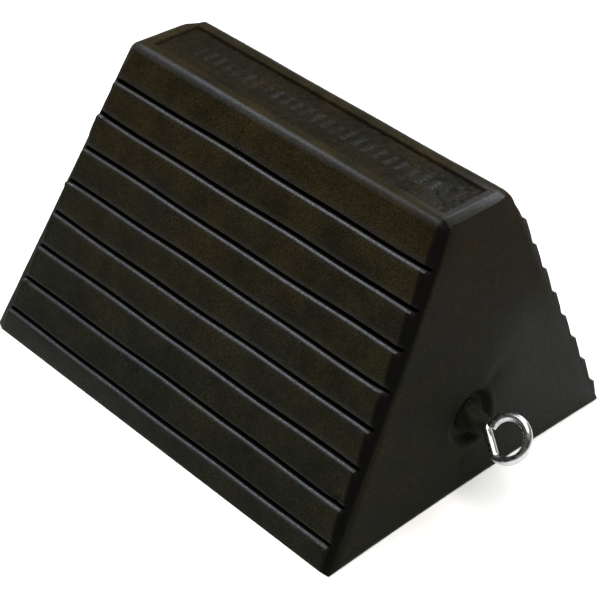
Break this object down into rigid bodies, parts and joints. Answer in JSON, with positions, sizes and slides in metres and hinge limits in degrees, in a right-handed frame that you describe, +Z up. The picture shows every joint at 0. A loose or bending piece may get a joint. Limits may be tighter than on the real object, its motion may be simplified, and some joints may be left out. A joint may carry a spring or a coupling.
{
  "type": "wheel chock",
  "caption": "Solid rubber wedge block with two grooved sloping faces, a flat top with a sunk panel and a swivelling steel eye for a rope or chain in one end.",
  "frame": {"origin": "middle of the base, on the ground", "axes": "+X along the length towards the end with the eye, +Y across the two ribbed faces, +Z up"},
  "size_m": [0.2842, 0.2032, 0.1544],
  "materials": {
    "black_rubber": "semi-matte moulded rubber",
    "zinc_wire": "bright zinc plated wire, slightly dulled",
    "anchor_steel": "plain zinc plated"
  },
  "bodies": {
    "block": {"rubber_body": "black_rubber"},
    "eye": {"eye_bolt": "zinc_wire", "anchor_washer": "anchor_steel", "front_nut": "anchor_steel", "rear_nut": "anchor_steel"}
  },
  "joints": [
    {"name": "eye_swivel", "type": "hinge", "parent": "block", "child": "eye", "pos_m": [0.1225, 0, 0.0384], "axis": [1, 0, 0], "continuous": true}
  ]
}
